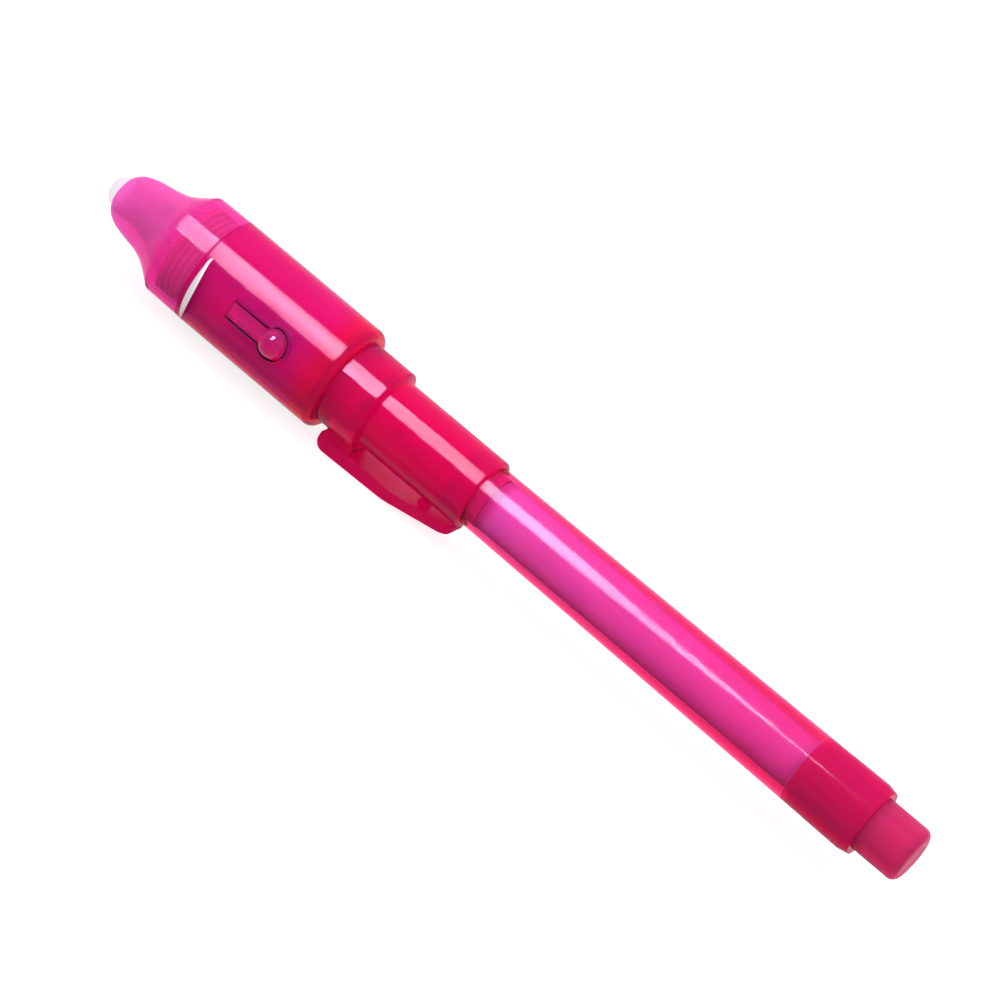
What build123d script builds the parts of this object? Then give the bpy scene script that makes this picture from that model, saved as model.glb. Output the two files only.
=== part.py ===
from build123d import *
import os
from math import cos, hypot, radians, sin, sqrt

os.makedirs("parts", exist_ok=True)

# The pen lies along X on its clip, in millimetres. Its tail end is at the origin, its lamp points to +X.
# Pieces are drawn with the button towards +Z. The clip and the pull tab are turned from there about the
# pen, towards +Y, and at the end every piece is turned on until the clip is at the bottom.

# Lengths that show along the pen, from the tail end to the tip of the lamp
plug_length = 6.9
barrel_length = 66.45
cap_tube_length = 17.0
collar_length = 6.9
head_length = 23.55
seam_gap = 0.15
nose_ring_length = 5.5
nose_cone_length = 11.1
lamp_showing = 2.0

# Clearances
press_fit = 0.02
slide_fit = 0.03
end_gap = 0.1

# Ink store, barrel and tail plug
wick_radius = 3.7
sleeve_wall = 0.1
wick_gap = 0.05
barrel_wall = 0.7
barrel_flare = 0.64
tail_band_length = 5.9
tail_band_step = 0.03
tail_chamfer_length = 1.5
tail_chamfer_depth = 0.3
plug_shoulder = 0.18
plug_wall = 1.2
plug_round = 1.15
plug_sleeve_length = 4.3
plug_post_length = 6.7
plug_post_step = 0.15

# Nib and its section, hidden in the cap
barrel_overlap = 3.7
section_spigot_length = 5.4
section_flange_length = 1.1
section_flange_step = 0.3
section_cone_length = 9.9
section_cone_step = 0.9
section_tip_radius = 1.9
nib_radius = 0.9
nib_showing = 2.6
nib_in_wick = 3.0

# Cap tube and collar
cap_fit = 0.06
cap_wall = 0.66
mouth_round = 0.45
collar_step = 1.03
collar_slope = 0.6
collar_round = 0.25
collar_shoulder = 0.68
nib_room = 0.9
bulkhead = 1.3
stem_wall = 1.2
stem_past_wall = 0.5

# Pocket clip
clip_turn = 97.0
clip_width = 5.4
clip_rise = 2.67
clip_thickness = 1.6
clip_tip_thickness = 1.25
clip_tip_gap = 0.2
clip_droop = 0.33
clip_bend_length = 10.0
clip_bend_round = 14.0
clip_tip_setback = 0.6
clip_tip_round = 0.6
clip_plan_round = 1.6
clip_head_gap = 1.35
clip_root_round = 1.5
clip_nub_radius = 1.0
clip_nub_gap = 0.15
clip_nub_setback = 6.2
boss_rise = 0.62
boss_gap = 0.06
knuckle_radius = 0.95
knuckle_fit = 0.04

# Cells, contacts and switch
cell_radius = 3.95
cell_height = 3.6
cell_count = 3
cell_fit = 0.1
cell_cap_step = 0.75
cell_cap_height = 0.5
cell_edge = 0.25
sheet = 0.2
contact_disc_step = 0.4
channel_skin = 0.35
channel_side = 0.45
leaf_width = 2.6
leaf_pad_length = 1.5
leaf_setback = 0.8
leaf_past_nub = 1.1
strip_past_leaf = 0.4
switch_gap = 0.04
nub_gap = 0.13
nub_radius = 0.8
press_angle = 5.0

# Lamp and its leads
lamp_radius = 2.5
lamp_length = 8.6
lamp_flange_length = 1.0
lamp_flange_step = 0.4
lamp_fit = 0.05
wire_radius = 0.25
wire_bend = 0.6
lead_pitch = 2.54
lead_embedded = 3.0
lead_gap = 0.75
lead_room = 0.08
lead_rise_setback = 1.4
cup_radius = 0.85
cup_height = 1.1

# Head, cell holder and nose
head_wall = 1.1
head_rear_wall = 1.6
head_rear_round = 1.1
head_front_round = 0.2
holder_gap = 0.2
holder_step = 0.6
holder_back_wall = 1.3
holder_hollow_wall = 0.9
spigot_length = 4.45
spigot_wall = 0.62
ridge_height = 0.13
ridge_count = 4
nose_wall = 1.19
nose_step = 0.05
nose_taper = 0.09
nose_ledge = 0.45
nose_waist_length = 5.4
nose_waist_radius = 4.8
nose_flare_slope = 0.7
nose_waist_slope = 0.18
nose_tip_slope = 1.6
nose_rim = 0.05

# Button and its keyhole
button_behind_cells = 2.65
button_reach = 7.5
tongue_width = 2.3
tongue_slit = 0.3
disc_radius = 2.05
disc_gap = 0.3
dome_height = 1.7
dome_edge = 0.1
tongue_knuckle_radius = 0.45
tongue_knuckle_fit = 0.03
tongue_end_gap = 0.12
rim_width = 0.4
rim_height = 0.22

# Pull tab
tab_turn = 16.8
tab_thickness = 0.25
tab_gap = 0.05
tab_setback = 0.8
tab_width = 10.4
tab_strip_width = 4.0
tab_past_axis = 2.0
tab_showing = 0.9
tab_lean = 50.0
tab_slot_gap = 0.3
tab_crease = 0.15

# Radii of the pen body and the cap, from the inside out
sleeve_radius = wick_radius + sleeve_wall
barrel_bore = sleeve_radius + wick_gap
barrel_mouth_radius = barrel_bore + barrel_wall
plug_radius = barrel_bore + plug_shoulder
plug_hollow = barrel_bore - plug_wall
cap_bore = barrel_mouth_radius + cap_fit
cap_radius = cap_bore + cap_wall
collar_radius = cap_radius + collar_step
stem_radius = collar_radius - collar_shoulder
boss_top = collar_radius + boss_rise
clip_radius = collar_radius + clip_rise

# Heights and radii in the head, from the cells outwards
cell_bore = cell_radius + cell_fit
channel_floor = cell_bore + channel_skin
leaf_reach = button_reach - leaf_setback
leaf_travel = (leaf_reach + leaf_past_nub) * sin(radians(press_angle))
leaf_height = channel_floor + sheet + leaf_travel + switch_gap
nub_tip = leaf_height + sheet + nub_gap
lead_side = leaf_width / 2 + lead_gap + wire_radius
lead_height = leaf_height - tab_gap - wire_radius
channel_half = lead_side + wire_radius + channel_side
spigot_bore = hypot(lead_side, lead_height) + wire_radius + lead_room
spigot_radius = spigot_bore + spigot_wall
nose_bore = spigot_radius + ridge_height + slide_fit
nose_ring_radius = nose_bore + nose_wall
head_radius = nose_ring_radius + nose_step
head_bore = head_radius - head_wall
holder_radius = head_bore - slide_fit
wall_middle = head_bore + head_wall / 2

# Turn about the pen, from the button facing up to the clip lying at the bottom
lie_turn = 180 - clip_turn

# Places along the pen
x_barrel_end = plug_length
x_mouth = x_barrel_end + barrel_length
x_barrel_front = x_mouth + barrel_overlap
x_section_back = x_barrel_front - section_spigot_length
x_wick_front = x_section_back - end_gap
x_plug_post = x_barrel_end + plug_sleeve_length + plug_post_length
x_wick_back = x_plug_post + end_gap
x_flange_front = x_barrel_front + section_flange_length
x_section_tip = x_flange_front + section_cone_length
x_nib_tip = x_section_tip + nib_showing
x_bulkhead = x_nib_tip + nib_room
x_collar = x_mouth + cap_tube_length
x_head = x_collar + collar_length
x_stem = x_head + head_rear_wall + stem_past_wall
x_seam = x_head + head_length
x_tab_front = x_seam - tab_setback
x_tab_back = x_tab_front - tab_thickness
x_cells_front = x_tab_back - tab_gap
x_cells_back = x_cells_front - cell_count * cell_height
x_cell_wall = x_cells_back - sheet - press_fit
x_button = x_cells_back - button_behind_cells
x_tongue_root = x_button + button_reach
x_leaf = x_button + leaf_reach
x_leaf_end = x_button - leaf_past_nub
x_strip_end = x_leaf_end - strip_past_leaf
x_holder_back = x_stem + holder_gap
x_nose = x_seam + seam_gap
x_spigot = x_nose + spigot_length
x_cone = x_nose + nose_ring_length
x_nose_tip = x_cone + nose_cone_length
x_lamp_tip = x_nose_tip + lamp_showing
x_lamp_base = x_lamp_tip - lamp_length
x_clip_root = x_head - clip_head_gap
x_clip_hinge = x_clip_root - knuckle_radius
x_clip_tip = x_mouth + clip_tip_setback
x_clip_bend = x_clip_tip + clip_bend_length


def outline(points, rounds=()):
    """A flat face through the points, with the listed corners rounded."""
    face = make_face(Polyline(*points, close=True))
    for corner, radius in rounds:
        vertex = face.vertices().sort_by_distance((*corner, 0))[0]
        face = fillet(vertex, radius)
    return face


def turned(face):
    """The face, drawn as place along the pen and radius, turned round the pen's axis."""
    return revolve(Plane.XZ * face, Axis.X)


def rod(radius, x_start, x_end):
    """A round rod on the pen's axis."""
    return turned(outline([(x_start, 0), (x_end, 0), (x_end, radius), (x_start, radius)]))


def ring(inner, outer, x_start, x_end):
    """A plain tube on the pen's axis."""
    return turned(outline([(x_start, inner), (x_end, inner), (x_end, outer), (x_start, outer)]))


def block(x_start, x_end, y_start, y_end, z_start, z_end):
    """A box between the given planes."""
    centre = Pos((x_start + x_end) / 2, (y_start + y_end) / 2, (z_start + z_end) / 2)
    return centre * Box(x_end - x_start, y_end - y_start, z_end - z_start)


def cross_pin(radius, length, x, z):
    """A rod across the pen, along Y."""
    return Pos(x, 0, z) * Rot(X=90) * Cylinder(radius, length)


def upright(face, z_start, z_end):
    """A flat plan in X and Y, raised between two heights."""
    return Pos(0, 0, z_start) * extrude(face, z_end - z_start)


def about_pen(shape, turn):
    """The shape turned about the pen, from +Z towards +Y."""
    return Rot(X=-turn) * shape


def barrel_radius(x):
    """Outside of the tapered barrel at a place along the pen."""
    return barrel_mouth_radius + barrel_flare * (x_mouth - x) / barrel_length


def barrel():
    x_chamfer = x_barrel_end + tail_chamfer_length
    x_band = x_barrel_end + tail_chamfer_length + tail_band_length
    band_radius = barrel_radius(x_barrel_end) + tail_band_step
    return turned(
        outline(
            [
                (x_barrel_end, barrel_bore),
                (x_barrel_end, band_radius - tail_chamfer_depth),
                (x_chamfer, band_radius),
                (x_band, barrel_radius(x_band) + tail_band_step),
                (x_band, barrel_radius(x_band)),
                (x_barrel_front, barrel_radius(x_barrel_front)),
                (x_barrel_front, barrel_bore),
            ]
        )
    )


def tail_plug():
    x_sleeve = x_barrel_end + plug_sleeve_length
    sleeve = barrel_bore - press_fit
    post = sleeve - plug_post_step
    return turned(
        outline(
            [
                (0, 0),
                (0, plug_radius),
                (x_barrel_end, plug_radius),
                (x_barrel_end, sleeve),
                (x_sleeve, sleeve),
                (x_sleeve, post),
                (x_plug_post, post),
                (x_plug_post, plug_hollow),
                (plug_wall, plug_hollow),
                (plug_wall, 0),
            ],
            [((0, plug_radius), plug_round)],
        )
    )


def ink_wick():
    body = rod(wick_radius - press_fit, x_wick_back, x_wick_front)
    socket_start = x_wick_front - nib_in_wick - end_gap
    return body - rod(nib_radius + press_fit, socket_start, x_wick_front)


def wick_sleeve():
    return ring(wick_radius, sleeve_radius, x_wick_back, x_wick_front)


def nib_section():
    spigot = barrel_bore - press_fit
    flange = barrel_radius(x_barrel_front) - section_flange_step
    bore = nib_radius + press_fit
    return turned(
        outline(
            [
                (x_section_back, bore),
                (x_section_back, spigot),
                (x_barrel_front, spigot),
                (x_barrel_front, flange),
                (x_flange_front, flange),
                (x_flange_front, flange - section_cone_step),
                (x_section_tip, section_tip_radius),
                (x_section_tip, bore),
            ]
        )
    )


def nib():
    x_back = x_wick_front - nib_in_wick
    body = rod(nib_radius, x_back, x_nib_tip - nib_radius)
    return body + Pos(x_nib_tip - nib_radius, 0, 0) * Sphere(nib_radius)


def clip_boss():
    """Seat on the collar that the clip's knuckle lies in."""
    x_front = x_clip_hinge + knuckle_radius / 2
    half = clip_width / 2
    seat = block(x_collar + collar_slope, x_front, -half, half, stem_radius, boss_top)
    groove = cross_pin(knuckle_radius + knuckle_fit, 2 * clip_width, x_clip_hinge, boss_top)
    return seat - groove


def cap_tube():
    stem_hollow = stem_radius - stem_wall
    x_floor = x_bulkhead + bulkhead
    tube = turned(
        outline(
            [
                (x_mouth, cap_bore),
                (x_mouth, cap_radius),
                (x_collar, cap_radius),
                (x_collar + collar_slope, collar_radius),
                (x_head, collar_radius),
                (x_head, stem_radius),
                (x_stem, stem_radius),
                (x_stem, stem_hollow),
                (x_floor, stem_hollow),
                (x_floor, 0),
                (x_bulkhead, 0),
                (x_bulkhead, cap_bore),
            ],
            [
                ((x_mouth, cap_radius), mouth_round),
                ((x_collar + collar_slope, collar_radius), collar_round),
            ],
        )
    )
    groove = cross_pin(knuckle_radius + knuckle_fit, clip_width, x_clip_hinge, boss_top)
    return tube - about_pen(groove, clip_turn) + about_pen(clip_boss(), clip_turn)


def pocket_clip():
    inner_root = boss_top + boss_gap
    bend = clip_radius - clip_droop
    tip_inner = cap_radius + clip_tip_gap
    tip_outer = tip_inner + clip_tip_thickness
    side = outline(
        [
            (x_clip_root, inner_root),
            (x_clip_root, clip_radius),
            (x_clip_bend, bend),
            (x_clip_tip, tip_outer),
            (x_clip_tip, tip_inner),
            (x_clip_bend, bend - clip_thickness),
            (x_collar, inner_root),
        ],
        [
            ((x_clip_root, clip_radius), clip_root_round),
            ((x_clip_bend, bend), clip_bend_round),
            ((x_clip_tip, tip_outer), clip_tip_round),
            ((x_clip_tip, tip_inner), clip_tip_round),
            ((x_clip_bend, bend - clip_thickness), clip_bend_round),
        ],
    )
    arm = extrude(Plane.XZ * side, clip_width / 2, both=True)
    knuckle = cross_pin(knuckle_radius, clip_width, x_clip_hinge, boss_top)
    nub_height = cap_radius + clip_nub_gap + clip_nub_radius
    grip_nub = Pos(x_mouth + clip_nub_setback, 0, nub_height) * Sphere(clip_nub_radius)
    plan_length = x_clip_root - x_clip_tip + 2 * clip_plan_round
    plan_middle = Pos(x_clip_tip + plan_length / 2, 0)
    plan = plan_middle * RectangleRounded(plan_length, clip_width, clip_plan_round)
    return about_pen((arm + knuckle + grip_nub) & upright(plan, 0, clip_radius), clip_turn)


def keyhole(slot_width, hole_radius, x_end):
    """Plan of a round hole with a straight slot leading from it towards the nose."""
    slot = Pos((x_button + x_end) / 2, 0) * Rectangle(x_end - x_button, slot_width)
    return Pos(x_button, 0) * Circle(hole_radius) + slot


def tab_slot():
    """Room for the pull tab to slide out through the holder and the head's wall."""
    x_start = x_tab_back - 2 * tab_gap
    x_end = x_tab_front + tab_gap
    half = tab_width / 2 + tab_slot_gap
    return about_pen(block(x_start, x_end, -half, half, 0, 2 * head_radius), tab_turn)


def head_shell():
    stem_hole = stem_radius + press_fit
    x_wall = x_head + head_rear_wall
    shell = turned(
        outline(
            [
                (x_head, stem_hole),
                (x_head, head_radius),
                (x_seam, head_radius),
                (x_seam, head_bore),
                (x_wall, head_bore),
                (x_wall, stem_hole),
            ],
            [
                ((x_head, head_radius), head_rear_round),
                ((x_seam, head_radius), head_front_round),
            ],
        )
    )
    slot_width = tongue_width + 2 * tongue_slit
    hole_radius = disc_radius + disc_gap
    opening = keyhole(slot_width, hole_radius, x_tongue_root + tongue_end_gap)
    border = keyhole(
        slot_width + 2 * rim_width, hole_radius + rim_width, x_tongue_root + rim_width
    )
    rim_band = ring(wall_middle, head_radius + rim_height, x_head, x_seam)
    rim = upright(border, 0, 2 * head_radius) & rim_band
    seat_radius = tongue_knuckle_radius + tongue_knuckle_fit
    seat = cross_pin(seat_radius, slot_width, x_tongue_root, wall_middle)
    return shell + rim - upright(opening, 0, 2 * head_radius) - seat - tab_slot()


def push_button():
    plan = keyhole(tongue_width, disc_radius, x_tongue_root)
    wall = ring(head_bore, head_radius, x_head, x_seam)
    tongue = upright(plan, 0, 2 * head_radius) & wall
    knuckle = cross_pin(tongue_knuckle_radius, tongue_width, x_tongue_root, wall_middle)
    dome_base = disc_radius - dome_edge
    ball_radius = (dome_base**2 + dome_height**2) / (2 * dome_height)
    ball = Pos(x_button, 0, head_radius + dome_height - ball_radius) * Sphere(ball_radius)
    post = Pos(x_button, 0) * Circle(dome_base)
    dome = ball & upright(post, wall_middle, 2 * head_radius)
    nub = upright(Pos(x_button, 0) * Circle(nub_radius), nub_tip, wall_middle)
    return tongue + knuckle + dome + nub


def spigot_ridges():
    """Rounded rings round the holder's spigot, which the nose is pushed over."""
    pitch = (x_spigot - x_nose) / (ridge_count + 1)
    half = pitch / 3
    crest = spigot_radius + ridge_height
    ridges = []
    for index in range(ridge_count):
        x = x_nose + pitch * (index + 1)
        points = [(x - half, spigot_bore), (x - half, spigot_radius), (x, crest)]
        points += [(x + half, spigot_radius), (x + half, spigot_bore)]
        ridges.append(turned(outline(points)))
    return ridges


def cell_holder():
    x_step = x_seam - holder_step
    body = rod(holder_radius, x_holder_back, x_step) + rod(spigot_radius, x_step, x_spigot)
    for ridge in spigot_ridges():
        body = body + ridge
    side = channel_half
    channel = block(x_holder_back, x_cells_front, -side, side, channel_floor, 2 * head_radius)
    body = body - channel
    x_pad_end = x_leaf + leaf_pad_length
    half = leaf_width / 2
    pillar = block(x_leaf, x_pad_end, -half, side, cell_bore, leaf_height - press_fit)
    body = body + (pillar & rod(holder_radius, x_leaf, x_pad_end))
    hollow = channel_floor - holder_hollow_wall
    body = body - rod(hollow, x_holder_back, x_cell_wall - holder_back_wall)
    body = body - rod(cell_bore, x_cell_wall, x_cells_front)
    body = body - rod(spigot_bore, x_cells_front, x_spigot)
    leg_half = half + press_fit
    leg_slot = block(x_cell_wall, x_cells_back + press_fit, -leg_half, leg_half, 0, 2 * channel_floor)
    return body - leg_slot - tab_slot()


def button_cell(index):
    """One cell, its smaller cap towards the nose."""
    x_back = x_cells_back + index * cell_height
    x_front = x_back + cell_height
    x_can = x_front - cell_cap_height
    cap = cell_radius - cell_cap_step
    return turned(
        outline(
            [
                (x_back, 0),
                (x_back, cell_radius),
                (x_can, cell_radius),
                (x_can, cap),
                (x_front, cap),
                (x_front, 0),
            ],
            [((x_back, cell_radius), cell_edge), ((x_can, cell_radius), cell_edge)],
        )
    )


def rear_contact():
    half = leaf_width / 2
    x_sheet = x_cells_back - sheet
    top = channel_floor + sheet
    disc = rod(cell_radius - contact_disc_step, x_sheet, x_cells_back)
    leg = block(x_sheet, x_cells_back, -half, half, 0, top)
    strip = block(x_strip_end, x_cells_back, -half, half, channel_floor, top)
    return disc + leg + strip


def switch_leaf():
    half = leaf_width / 2
    top = leaf_height + sheet
    arm = block(x_leaf_end, x_leaf + leaf_pad_length, -half, half, leaf_height, top)
    ear_edge = lead_side + wire_radius
    ear = block(x_leaf, x_leaf + leaf_pad_length, -ear_edge, half, leaf_height, top)
    return arm + ear


def wire(points):
    """Round wire bent along the points."""
    path = FilletPolyline(*points, radius=wire_bend)
    return sweep(Plane(origin=path @ 0, z_dir=path % 0) * Circle(wire_radius), path)


def led_anode_lead():
    x_rise = x_spigot - lead_rise_setback
    return wire(
        [
            (x_lamp_base + lead_embedded, -lead_pitch / 2, 0),
            (x_rise, -lead_pitch / 2, 0),
            (x_rise, -lead_side, lead_height),
            (x_leaf + wire_radius, -lead_side, lead_height),
        ]
    )


def led_cathode_lead():
    x_foot = x_tab_front + tab_gap + wire_radius
    x_cup = x_lamp_base + lead_embedded
    leg = wire(
        [
            (x_cup, lead_pitch / 2, 0),
            (x_foot, lead_pitch / 2, 0),
            (x_foot, -lead_pitch / 2, 0),
        ]
    )
    cup_side = lead_pitch / 2 - cup_radius
    cup = Pos(x_cup, cup_side, 0) * Rot(Y=90) * Cone(cup_radius / 2, cup_radius, cup_height)
    return leg + cup


def led_lens():
    x_dome = x_lamp_tip - lamp_radius
    x_flange = x_lamp_base + lamp_flange_length
    body = rod(lamp_radius + lamp_flange_step, x_lamp_base, x_flange)
    body = body + rod(lamp_radius, x_lamp_base, x_dome) + Pos(x_dome, 0, 0) * Sphere(lamp_radius)
    return body - led_anode_lead() - led_cathode_lead()


def nose_cap():
    lamp_bore = lamp_radius + lamp_fit
    pocket = lamp_radius + lamp_flange_step + end_gap
    x_seat = x_lamp_base + lamp_flange_length + end_gap
    x_bore_end = x_spigot + end_gap
    ring_front = nose_ring_radius - nose_taper
    x_waist = x_cone + nose_waist_length
    flare = Spline(
        [(x_cone, ring_front), (x_waist, nose_waist_radius)],
        tangents=[(1, -nose_flare_slope), (1, -nose_waist_slope)],
    )
    dome = Spline(
        [flare @ 1, (x_nose_tip, lamp_bore + nose_rim)],
        tangents=[(1, -nose_waist_slope), (1, -nose_tip_slope)],
    )
    face = make_face(
        [
            flare,
            dome,
            Polyline(
                dome @ 1,
                (x_nose_tip, lamp_bore),
                (x_seat, lamp_bore),
                (x_seat, pocket),
                (x_lamp_base - end_gap, pocket),
                (x_bore_end, nose_bore - nose_ledge),
                (x_bore_end, nose_bore),
                (x_nose, nose_bore),
                (x_nose, nose_ring_radius),
                flare @ 0,
            ),
        ]
    )
    return turned(face)


def pull_tab():
    half = tab_width / 2
    edge_height = sqrt(head_radius**2 - half**2)
    rise = head_radius + tab_showing - edge_height
    end_radius = (half**2 + rise**2) / (2 * rise)
    end_middle = head_radius + tab_showing - end_radius
    x_middle = (x_tab_back + x_tab_front) / 2
    round_end = Pos(0, 0, end_middle) * Rot(Y=90) * Cylinder(end_radius, 4 * head_radius)
    between_edges = block(0, x_lamp_tip, -half, half, 0, 2 * head_radius)
    round_end = Pos(x_middle, 0, 0) * round_end & between_edges
    crease = head_radius + tab_crease
    band = ring(holder_radius, crease, x_tab_back, x_tab_front) & round_end
    strip_half = tab_strip_width / 2
    strip_top = holder_radius + end_gap
    strip = block(x_tab_back, x_tab_front, -strip_half, strip_half, -tab_past_axis, strip_top)
    run = 2 * tab_showing
    back = run * sin(radians(tab_lean))
    out = run * cos(radians(tab_lean))
    flag = turned(
        outline(
            [
                (x_tab_front, crease - tab_thickness),
                (x_tab_front, crease),
                (x_tab_front - back, crease + out),
                (x_tab_front - back, crease + out - tab_thickness),
            ]
        )
    )
    return about_pen(strip + band + (flag & round_end), tab_turn)


pieces = {
    "barrel": barrel(),
    "tail_plug": tail_plug(),
    "ink_wick": ink_wick(),
    "wick_sleeve": wick_sleeve(),
    "nib_section": nib_section(),
    "nib": nib(),
    "cap_tube": cap_tube(),
    "pocket_clip": pocket_clip(),
    "head_shell": head_shell(),
    "push_button": push_button(),
    "cell_holder": cell_holder(),
    "rear_contact": rear_contact(),
    "switch_leaf": switch_leaf(),
    "led_anode_lead": led_anode_lead(),
    "led_cathode_lead": led_cathode_lead(),
    "led_lens": led_lens(),
    "nose_cap": nose_cap(),
    "pull_tab": pull_tab(),
}
for index in range(cell_count):
    pieces[f"button_cell_{index + 1}"] = button_cell(index)

for name, shape in pieces.items():
    export_step(about_pen(shape, lie_turn), f"parts/{name}.step")
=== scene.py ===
import math

import bpy
from mathutils import Matrix, Vector


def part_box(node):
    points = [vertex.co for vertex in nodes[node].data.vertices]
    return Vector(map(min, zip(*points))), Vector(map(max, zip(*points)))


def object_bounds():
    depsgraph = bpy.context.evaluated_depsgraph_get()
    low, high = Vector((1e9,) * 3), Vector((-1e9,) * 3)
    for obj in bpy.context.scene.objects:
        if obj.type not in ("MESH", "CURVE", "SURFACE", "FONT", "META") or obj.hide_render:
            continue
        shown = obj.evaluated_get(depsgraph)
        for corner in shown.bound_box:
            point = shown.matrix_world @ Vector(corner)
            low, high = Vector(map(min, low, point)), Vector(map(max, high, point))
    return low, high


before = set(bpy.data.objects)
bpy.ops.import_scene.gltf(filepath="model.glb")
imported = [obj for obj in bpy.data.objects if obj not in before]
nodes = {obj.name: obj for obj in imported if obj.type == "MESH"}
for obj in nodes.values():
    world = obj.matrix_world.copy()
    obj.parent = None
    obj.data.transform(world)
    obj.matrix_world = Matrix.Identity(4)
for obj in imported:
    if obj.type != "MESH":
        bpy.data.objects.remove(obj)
cad_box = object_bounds()

# Lengths are in metres. The pen lies along X, with its nose at the far end. Turns about it are counted
# from +Z towards +Y, in degrees, and the button faces this way.
millimetre = 0.001
pen_axis = Vector((1, 0, 0))
button_turn = 83.0

# The camera, as the photograph was taken: a long lens, turned from the button away from the clip
# and leaned towards the tail. The pen slopes down across the picture from its nose to its tail.
view_turn = button_turn - 19.5
view_lean = 14.3
picture_slope = 40.12
picture_width = 0.1294
look_at = 0.07138
look_beside = 0.00098
camera_distance = 0.74
camera_sight = 10.0
sensor_width = 36.0

# One softbox beside the camera makes the long streak on the pen. The streak narrows to a point
# towards the tail, as the corner of the box that faces the tail does.
softbox_turn = view_turn - 31.3
softbox_distance = 0.5
softbox_half_width = 0.172
softbox_corner_x = 0.109
softbox_shoulder_x = 0.197
softbox_end_x = 0.32
softbox_strength = 100.0
softbox_colour = (0.9, 0.8, 1.2)

# The sky is bright overhead and dim below. Sky and table are seen as white, by rays that have
# bounced off fewer rough surfaces than this.
bounce_limit = 0.5
white = (1.0, 1.0, 1.0)
sky_turn = 8.0
sky_low = 0.1
sky_high = 1.8
floor_size = 3.0
floor_glow = 0.82
# The table's colour is tinted pink: painted light, standing in for the pink light that the pen throws on it
floor_colour_painted_pink = (0.44, 0.37, 0.39)
floor_roughness = 0.9

# Moulded plastics: colour of the skin, colour left of white light after one millimetre, share of
# the light that is scattered, roughness inside, and how strongly they bend light
barrel_look = ((0.92, 0.42, 0.8), (0.96, 0.56, 0.71), 0.015, 0.12, 1.04)
section_look = ((0.98, 0.06, 0.42), (0.98, 0.8, 0.9), 0.6, 0.3, 1.06)
head_look = ((0.88, 0.015, 0.42), (0.98, 0.5, 0.7), 0.32, 0.1, 1.08)
button_look = ((0.95, 0.03, 0.46), (0.97, 0.45, 0.7), 0.3, 0.06, 1.3)
nose_look = ((0.96, 0.24, 0.7), (0.99, 0.76, 0.91), 0.31, 0.14, 1.05)
cap_look = ((0.88, 0.004, 0.2), (0.98, 0.6, 0.8), 0.4, 0.35, 1.12)
plug_look = ((0.8, 0.05, 0.25), (0.97, 0.7, 0.8), 0.45, 0.45, 1.12)
lens_look = ((0.97, 0.95, 0.98), (0.98, 0.975, 0.98), 0.3, 0.1, 1.1)
film_look = ((0.99, 0.97, 0.99), (0.98, 0.97, 0.98), 0.05, 0.2, 1.0)

# Clouds in the plastics, with so many waves to the metre along the pen and across it, the share of
# the skin's colour that is left in the dark ones, and how far they change the roughness
cloud_waves = (150.0, 300.0)
cloud_dark = 0.97
cloud_blur = 0.15

# The gloss on the plastics, drawn out into fine lines along the pen, and how much of it some pieces have
gloss = 0.12
gloss_ior = 1.4
gloss_roughness = 0.05
line_waves = (20.0, 1200.0)
line_detail = 4.0
line_contrast = 0.7
line_depth = 0.0000015
button_shine = 2.0
plug_shine = 0.6
no_shine = 0.0

# Opaque materials: the two colours that they are mottled between, roughness, and how far they are metal
fibre_look = ((0.95, 0.92, 0.95), (0.9, 0.87, 0.9), 0.8, 0.0)
felt_look = ((0.95, 0.94, 0.9), (0.85, 0.84, 0.8), 0.9, 0.0)
holder_look = ((0.75, 0.02, 0.14), (0.66, 0.018, 0.12), 0.4, 0.0)
# Painted shade: the walls of the button's slit are painted dark for the shade inside the slit
slit_shade_look = ((0.2, 0.003, 0.06), (0.15, 0.002, 0.045), 0.6, 0.0)
# Painted shade: the slopes of the ridges on the spigot are painted darker, so that they show as lines
ridge_shade_look = ((0.46, 0.01, 0.1), (0.4, 0.008, 0.085), 0.6, 0.0)
steel_look = ((0.75, 0.75, 0.77), (0.66, 0.66, 0.68), 0.25, 1.0)
sheet_look = ((0.78, 0.77, 0.74), (0.68, 0.67, 0.64), 0.3, 1.0)
wire_look = ((0.82, 0.82, 0.84), (0.74, 0.74, 0.76), 0.25, 1.0)
# The lamp's cup is pale lavender: partly the bright silver of the cup, partly a painted glint for its
# sparkle
cup_and_glint_look = ((0.95, 0.88, 0.98), (0.86, 0.78, 0.92), 0.35, 0.0)
tab_look = ((0.96, 0.96, 0.96), (0.9, 0.9, 0.9), 0.5, 0.0)
mottle_waves = (600.0, 600.0)
mottle_blur = 0.2
mottle_depth = 0.000003
fibre_waves = (100.0, 3000.0)

# The octaves of a plain noise, and the range in which most of a noise lies
noise_detail = 3.0
noise_low = 0.3
noise_high = 0.7

# How far red, green and blue light wander inside the fibre rod
wander = (0.004, 0.0006, 0.0015)

# The rear of the head is crimson, where the cap's stem shows through it. A turn of colour is whole at
# the first place along the pen and gone at the second.
stem_whole = 0.099
stem_gone = 0.1035
stem_skin = (0.92, 0.01, 0.2)

# The ring of the nose is deeper in colour and clearer, where the ridged spigot shows through it
ring_whole = 0.1258
ring_gone = 0.1285
ring_skin = (0.94, 0.12, 0.58)
ring_milk = 0.25

# The rear of the barrel is filled by the plug, and has its colour
plug_whole = 0.0179
plug_gone = 0.0181
plug_skin = (0.82, 0.012, 0.18)
plug_milk = 0.5

# The front of the wick is painted crimson: painted light, standing in for the section's crimson light that
# scatters into it
painted_glow_whole = 0.0716
painted_glow_gone = 0.0694
painted_glow_skin = (0.86, 0.12, 0.4)

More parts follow.
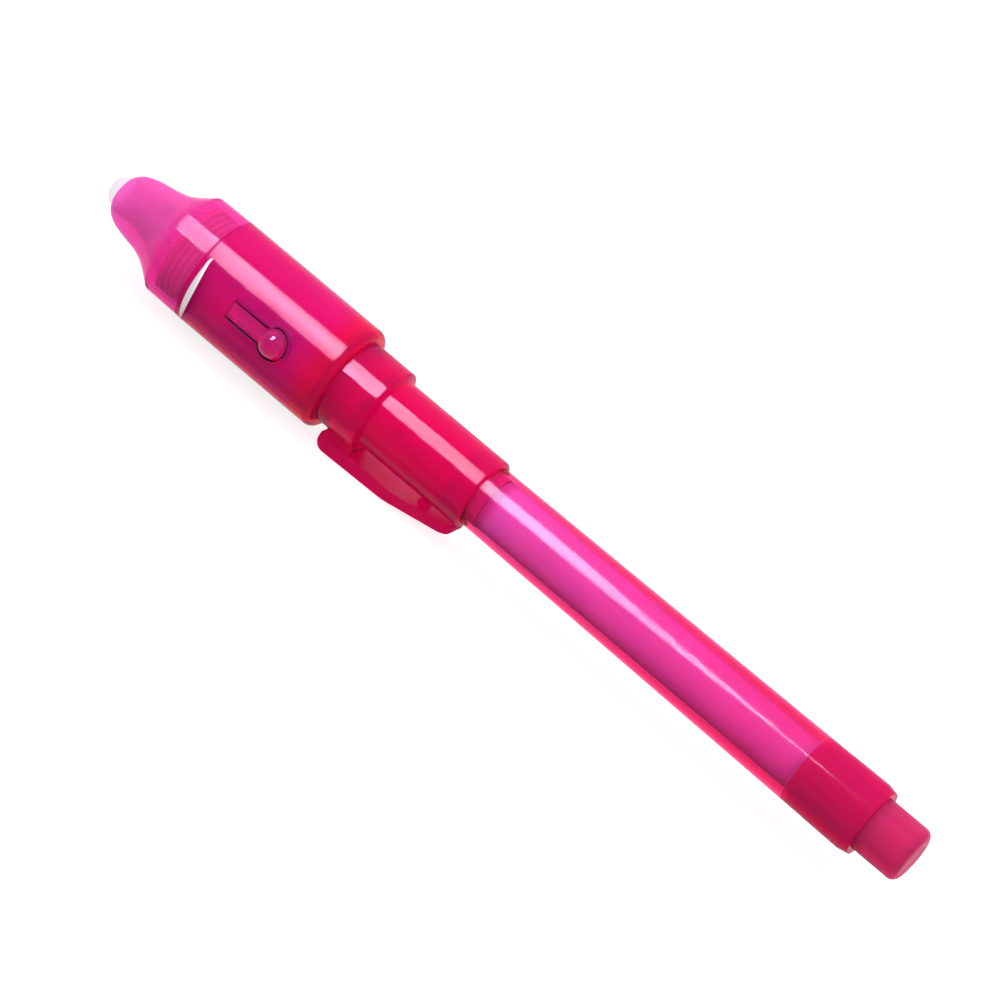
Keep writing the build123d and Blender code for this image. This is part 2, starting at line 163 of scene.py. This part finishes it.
# Heights and places about the button, between which the upright walls of its slit lie. These walls get
# painted shade.
slit_bottom = 0.0068
slit_top = 0.0078
slit_half = 0.003
slit_back = 0.1035
slit_front = 0.1135
upright = 0.3

# Where the slopes of the ridges on the spigot lie, which get painted shade, and where the lamp begins,
# inside which the leads get a painted glint
ridge_start = 0.1212
ridge_foot = 0.00635
ridge_slope = 0.2
lamp_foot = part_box("led_lens")[0][0]


def around(turn):
    """Unit vector across the pen at a turn about it."""
    angle = math.radians(turn)
    return Vector((0, math.sin(angle), math.cos(angle)))


def add_camera():
    """A camera with the photograph's view of the pen."""
    lean = math.radians(view_lean)
    slope = math.radians(picture_slope)
    back = math.cos(lean) * around(view_turn) - math.sin(lean) * pen_axis
    nose_way = math.cos(lean) * pen_axis + math.sin(lean) * around(view_turn)
    clip_way = around(view_turn + 90)
    right = -math.cos(slope) * nose_way - math.sin(slope) * clip_way
    up = math.sin(slope) * nose_way - math.cos(slope) * clip_way
    place = look_at * pen_axis - look_beside * clip_way + camera_distance * back
    lens = bpy.data.cameras.new("camera")
    lens.sensor_width = sensor_width
    lens.lens = sensor_width * camera_distance / picture_width
    lens.clip_end = camera_sight
    camera = bpy.data.objects.new("camera", lens)
    camera.matrix_world = Matrix.Translation(place) @ Matrix((right, up, back)).transposed().to_4x4()
    bpy.context.scene.collection.objects.link(camera)
    bpy.context.scene.camera = camera


def add_panel(name, points, material):
    """A flat panel with its corners at points in metres."""
    mesh = bpy.data.meshes.new(name)
    mesh.from_pydata(points, [], [range(len(points))])
    mesh.materials.append(material)
    panel = bpy.data.objects.new(name, mesh)
    bpy.context.scene.collection.objects.link(panel)
    return panel


def new_material(name):
    """A material with its node tree and its main shader."""
    material = bpy.data.materials.new(name)
    material.use_nodes = True
    tree = material.node_tree
    return material, tree, tree.nodes["Principled BSDF"]


def combine(tree, operation, first, second):
    """Two values worked into one. The second one may be a plain number."""
    result = tree.nodes.new("ShaderNodeMath")
    result.operation = operation
    tree.links.new(first, result.inputs[0])
    if isinstance(second, float):
        result.inputs[1].default_value = second
    else:
        tree.links.new(second, result.inputs[1])
    return result.outputs[0]


def seen_ray(tree):
    """One for rays that show a surface to the camera, straight, in a gloss or through clear plastic."""
    path = tree.nodes.new("ShaderNodeLightPath")
    seen = path.outputs["Is Camera Ray"]
    for kind in ("Is Glossy Ray", "Is Transmission Ray"):
        seen = combine(tree, "MAXIMUM", seen, path.outputs[kind])
    unscattered = combine(tree, "LESS_THAN", path.outputs["Diffuse Depth"], bounce_limit)
    return combine(tree, "MULTIPLY", seen, unscattered)


def add_softbox():
    """A flat glowing panel over the pen, pointed at the end that faces the tail."""
    middle = softbox_distance * around(softbox_turn)
    side = softbox_half_width * around(softbox_turn + 90)
    points = [
        middle + softbox_corner_x * pen_axis,
        middle + softbox_shoulder_x * pen_axis - side,
        middle + softbox_end_x * pen_axis - side,
        middle + softbox_end_x * pen_axis + side,
        middle + softbox_shoulder_x * pen_axis + side,
    ]
    material, tree, shader = new_material("softbox_glow")
    tree.nodes.remove(shader)
    glow = tree.nodes.new("ShaderNodeEmission")
    glow.inputs["Color"].default_value = (*softbox_colour, 1)
    glow.inputs["Strength"].default_value = softbox_strength
    tree.links.new(glow.outputs["Emission"], tree.nodes["Material Output"].inputs["Surface"])
    softbox = add_panel("softbox", points, material)
    softbox.visible_transmission = False
    softbox.visible_diffuse = False


def add_floor():
    """A white table under the pen, tinted pink as painted light from the pen, which keeps the pen's shadow.
    """
    half = floor_size / 2
    level = cad_box[0][2]
    corners = [(-half, -half, level), (half, -half, level), (half, half, level), (-half, half, level)]
    material, tree, shader = new_material("white_table")
    shader.inputs["Base Color"].default_value = (*floor_colour_painted_pink, 1)
    shader.inputs["Roughness"].default_value = floor_roughness
    shader.inputs["Specular IOR Level"].default_value = 0.0
    shader.inputs["Emission Color"].default_value = (*white, 1)
    glow = combine(tree, "MULTIPLY", seen_ray(tree), floor_glow)
    tree.links.new(glow, shader.inputs["Emission Strength"])
    floor = add_panel("floor", corners, material)


def set_world():
    """Soft light from all round, brighter overhead, which is seen as a plain white backdrop."""
    world = bpy.data.worlds.new("studio")
    bpy.context.scene.world = world
    world.use_nodes = True
    tree = world.node_tree
    background = tree.nodes["Background"]
    background.inputs["Color"].default_value = (*white, 1)
    way = tree.nodes.new("ShaderNodeTexCoord")
    facing = tree.nodes.new("ShaderNodeVectorMath")
    facing.operation = "DOT_PRODUCT"
    facing.inputs[1].default_value = around(sky_turn)
    tree.links.new(way.outputs["Generated"], facing.inputs[0])
    sky = tree.nodes.new("ShaderNodeMapRange")
    sky.inputs["To Min"].default_value = sky_low
    sky.inputs["To Max"].default_value = sky_high
    tree.links.new(facing.outputs["Value"], sky.inputs["Value"])
    backdrop = tree.nodes.new("ShaderNodeMix")
    backdrop.inputs["B"].default_value = 1.0
    tree.links.new(sky.outputs["Result"], backdrop.inputs["A"])
    tree.links.new(seen_ray(tree), backdrop.inputs["Factor"])
    tree.links.new(backdrop.outputs["Result"], background.inputs["Strength"])


def grain(tree, waves, detail):
    """Noise in the pen's own space, with so many waves to the metre along the pen and across it."""
    along, across = waves
    place = tree.nodes.new("ShaderNodeTexCoord")
    stretch = tree.nodes.new("ShaderNodeMapping")
    stretch.inputs["Scale"].default_value = (along, across, across)
    noise = tree.nodes.new("ShaderNodeTexNoise")
    noise.inputs["Scale"].default_value = 1.0
    noise.inputs["Detail"].default_value = detail
    tree.links.new(place.outputs["Object"], stretch.inputs["Vector"])
    tree.links.new(stretch.outputs["Vector"], noise.inputs["Vector"])
    return noise.outputs["Fac"]


def spread(tree, value, low, high):
    """Noise brought to run from a low value to a high one."""
    span = tree.nodes.new("ShaderNodeMapRange")
    span.inputs["From Min"].default_value = noise_low
    span.inputs["From Max"].default_value = noise_high
    span.inputs["To Min"].default_value = low
    span.inputs["To Max"].default_value = high
    tree.links.new(value, span.inputs["Value"])
    return span.outputs["Result"]


def spread_about(tree, value, middle, share):
    """Noise brought to run about a middle value, by a share of it to either side."""
    return spread(tree, value, middle * (1 - share), middle * (1 + share))


def blend_colours(tree, value, first, second):
    """A colour that runs from a first one to a second one."""
    mix = tree.nodes.new("ShaderNodeMix")
    mix.data_type = "RGBA"
    mix.inputs["A"].default_value = (*first, 1)
    mix.inputs["B"].default_value = (*second, 1)
    tree.links.new(value, mix.inputs["Factor"])
    return mix.outputs["Result"]


def add_bump(tree, normal, height, depth):
    """Relief of a depth in metres on a shader's normal."""
    bump = tree.nodes.new("ShaderNodeBump")
    bump.inputs["Distance"].default_value = depth
    tree.links.new(height, bump.inputs["Height"])
    tree.links.new(bump.outputs["Normal"], normal)


def add_dye(tree, tint):
    """Takes colour out of the light on its way through, as far as the tint after one millimetre."""
    loss = [-math.log(part) / millimetre for part in tint]
    depth = tree.nodes.new("ShaderNodeVolumeAbsorption")
    depth.inputs["Density"].default_value = max(loss)
    depth.inputs["Color"].default_value = (*[1 - part / max(loss) for part in loss], 1)
    tree.links.new(depth.outputs["Volume"], tree.nodes["Material Output"].inputs["Volume"])


def add_gloss(tree, shader, strength):
    """A smooth clear gloss over a plastic, with fine lines drawn along it."""
    lines = grain(tree, line_waves, line_detail)
    tree.links.new(spread_about(tree, lines, strength, line_contrast), shader.inputs["Coat Weight"])
    shader.inputs["Coat IOR"].default_value = gloss_ior
    shader.inputs["Coat Roughness"].default_value = gloss_roughness
    add_bump(tree, shader.inputs["Coat Normal"], lines, line_depth)


def tinted_plastic(name, look, shine=1.0):
    """Dyed plastic under a smooth skin, deeper in colour where it is thicker."""
    skin, tint, milk, blur, ior = look
    material, tree, shader = new_material(name)
    darker = [part * cloud_dark for part in skin]
    inside = [one * other for one, other in zip(skin, tint)]
    cloud = spread(tree, grain(tree, cloud_waves, noise_detail), 0.0, 1.0)
    tree.links.new(blend_colours(tree, cloud, skin, darker), shader.inputs["Base Color"])
    tree.links.new(spread_about(tree, cloud, blur, cloud_blur), shader.inputs["Roughness"])
    shader.inputs["Transmission Weight"].default_value = 1.0 - milk
    shader.inputs["IOR"].default_value = ior
    shader.inputs["Specular Tint"].default_value = (*inside, 1)
    if shine:
        add_gloss(tree, shader, gloss * shine)
    add_dye(tree, tint)
    return material


def solid(name, look, waves=mottle_waves):
    """An opaque material mottled between two colours."""
    light, dark, roughness, metallic = look
    material, tree, shader = new_material(name)
    mottle = grain(tree, waves, noise_detail)
    colour = blend_colours(tree, spread(tree, mottle, 0.0, 1.0), light, dark)
    tree.links.new(colour, shader.inputs["Base Color"])
    tree.links.new(spread_about(tree, mottle, roughness, mottle_blur), shader.inputs["Roughness"])
    add_bump(tree, shader.inputs["Normal"], mottle, mottle_depth)
    shader.inputs["Metallic"].default_value = metallic
    return material


def along_pen(tree, start, end):
    """Runs from nought to one between two places along the pen."""
    place = tree.nodes.new("ShaderNodeTexCoord")
    split = tree.nodes.new("ShaderNodeSeparateXYZ")
    span = tree.nodes.new("ShaderNodeMapRange")
    span.interpolation_type = "SMOOTHSTEP"
    span.inputs["From Min"].default_value = start
    span.inputs["From Max"].default_value = end
    tree.links.new(place.outputs["Object"], split.inputs["Vector"])
    tree.links.new(split.outputs["X"], span.inputs["Value"])
    return span.outputs["Result"]


def turn_colour(material, skin, whole, gone):
    """Turns a material to another colour, which is whole at one place along the pen and gone at another."""
    tree = material.node_tree
    colour = tree.nodes["Principled BSDF"].inputs["Base Color"]
    own_colour = colour.links[0].from_socket
    mix = tree.nodes.new("ShaderNodeMix")
    mix.data_type = "RGBA"
    mix.inputs["A"].default_value = (*skin, 1)
    tree.links.new(own_colour, mix.inputs["B"])
    tree.links.new(along_pen(tree, whole, gone), mix.inputs["Factor"])
    tree.links.new(mix.outputs["Result"], colour)


def turn_milk(material, milk, whole, gone):
    """Turns a plastic to another share of scattered light, in the same way."""
    tree = material.node_tree
    clearness = tree.nodes["Principled BSDF"].inputs["Transmission Weight"]
    span = tree.nodes.new("ShaderNodeMapRange")
    span.inputs["To Min"].default_value = 1.0 - milk
    span.inputs["To Max"].default_value = clearness.default_value
    tree.links.new(along_pen(tree, whole, gone), span.inputs["Value"])
    tree.links.new(span.outputs["Result"], clearness)


def in_slit(middle, way):
    """Upright walls of the keyhole slit round the button."""
    across = abs(middle.dot(around(button_turn + 90)))
    height = middle.dot(around(button_turn))
    lean = abs(way.dot(around(button_turn)))
    beside = across < slit_half and slit_back < middle.x < slit_front
    return beside and slit_bottom < height < slit_top and lean < upright


def on_ridge(middle, way):
    """Slopes of the ridges on the spigot."""
    radius = math.hypot(middle.y, middle.z)
    return middle.x > ridge_start and radius > ridge_foot and abs(way.x) > ridge_slope


def in_lamp(middle, way):
    """Ends of the leads that stand inside the lamp."""
    return middle.x > lamp_foot


def dress(material, *names):
    """Puts a material on nodes of the pen."""
    for name in names:
        mesh = nodes[name].data
        mesh.materials.clear()
        mesh.materials.append(material)


def dress_faces(material, chosen, *names):
    """Puts another material on the faces of nodes that are chosen by their middle and their way."""
    for name in names:
        mesh = nodes[name].data
        mesh.materials.append(material)
        for face in mesh.polygons:
            if chosen(face.center, face.normal):
                face.material_index = len(mesh.materials) - 1


def dress_barrel():
    """The clear pink barrel and the rose plug in its rear."""
    pink = tinted_plastic("barrel_pink", barrel_look)
    turn_colour(pink, plug_skin, plug_whole, plug_gone)
    turn_milk(pink, plug_milk, plug_whole, plug_gone)
    dress(pink, "barrel")
    dress(tinted_plastic("plug_rose", plug_look, plug_shine), "tail_plug")


def dress_wick():
    """The glowing fibre rod in its film, its front painted crimson as painted light from the section."""
    fibre = solid("fibre", fibre_look, fibre_waves)
    shader = fibre.node_tree.nodes["Principled BSDF"]
    shader.inputs["Subsurface Weight"].default_value = 1.0
    shader.inputs["Subsurface Radius"].default_value = wander
    shader.inputs["Subsurface Scale"].default_value = 1.0
    turn_colour(fibre, painted_glow_skin, painted_glow_whole, painted_glow_gone)
    dress(fibre, "ink_wick")
    dress(tinted_plastic("film", film_look, no_shine), "wick_sleeve")


def dress_writing_end():
    """The pink front section and the felt nib."""
    dress(tinted_plastic("section_pink", section_look), "nib_section")
    dress(solid("felt", felt_look), "nib")


def dress_cap():
    """The crimson cap with its clip."""
    dress(tinted_plastic("cap_crimson", cap_look), "cap_tube", "pocket_clip")


def dress_head():
    """The magenta head with its button, and painted shade on the walls of the slit between the two."""
    magenta = tinted_plastic("head_magenta", head_look)
    turn_colour(magenta, stem_skin, stem_whole, stem_gone)
    dress(magenta, "head_shell")
    dress(tinted_plastic("button_magenta", button_look, button_shine), "push_button")
    dress_faces(solid("deep_shade", slit_shade_look), in_slit, "head_shell", "push_button")


def dress_nose():
    """The milky pink nose with its clearer ring, and the white tab that leaves the seam."""
    pink = tinted_plastic("nose_pink", nose_look)
    turn_colour(pink, ring_skin, ring_whole, ring_gone)
    turn_milk(pink, ring_milk, ring_whole, ring_gone)
    dress(pink, "nose_cap")
    dress(solid("tab_white", tab_look), "pull_tab")


def dress_holder():
    """The crimson carrier of the cells, with painted shade on the slopes of the ridges on its spigot."""
    dress(solid("holder_plastic", holder_look), "cell_holder")
    dress_faces(solid("half_shade", ridge_shade_look), on_ridge, "cell_holder")


def dress_circuit():
    """The cells, their contacts, and the clear lamp with its leads, which end in a pale cup, partly its own
    bright silver and partly a painted glint.
    """
    dress(solid("cell_steel", steel_look), "button_cell_1", "button_cell_2", "button_cell_3")
    dress(solid("contact_sheet", sheet_look), "rear_contact", "switch_leaf")
    dress(tinted_plastic("clear_epoxy", lens_look, no_shine), "led_lens")
    dress(solid("tinned_wire", wire_look), "led_anode_lead", "led_cathode_lead")
    dress_faces(solid("cup_and_painted_glint", cup_and_glint_look), in_lamp, "led_anode_lead", "led_cathode_lead")


dress_barrel()
dress_wick()
dress_writing_end()
dress_cap()
dress_head()
dress_nose()
dress_holder()
dress_circuit()

add_camera()
add_softbox()
add_floor()
set_world()

scene = bpy.context.scene
scene.view_settings.view_transform = "Standard"
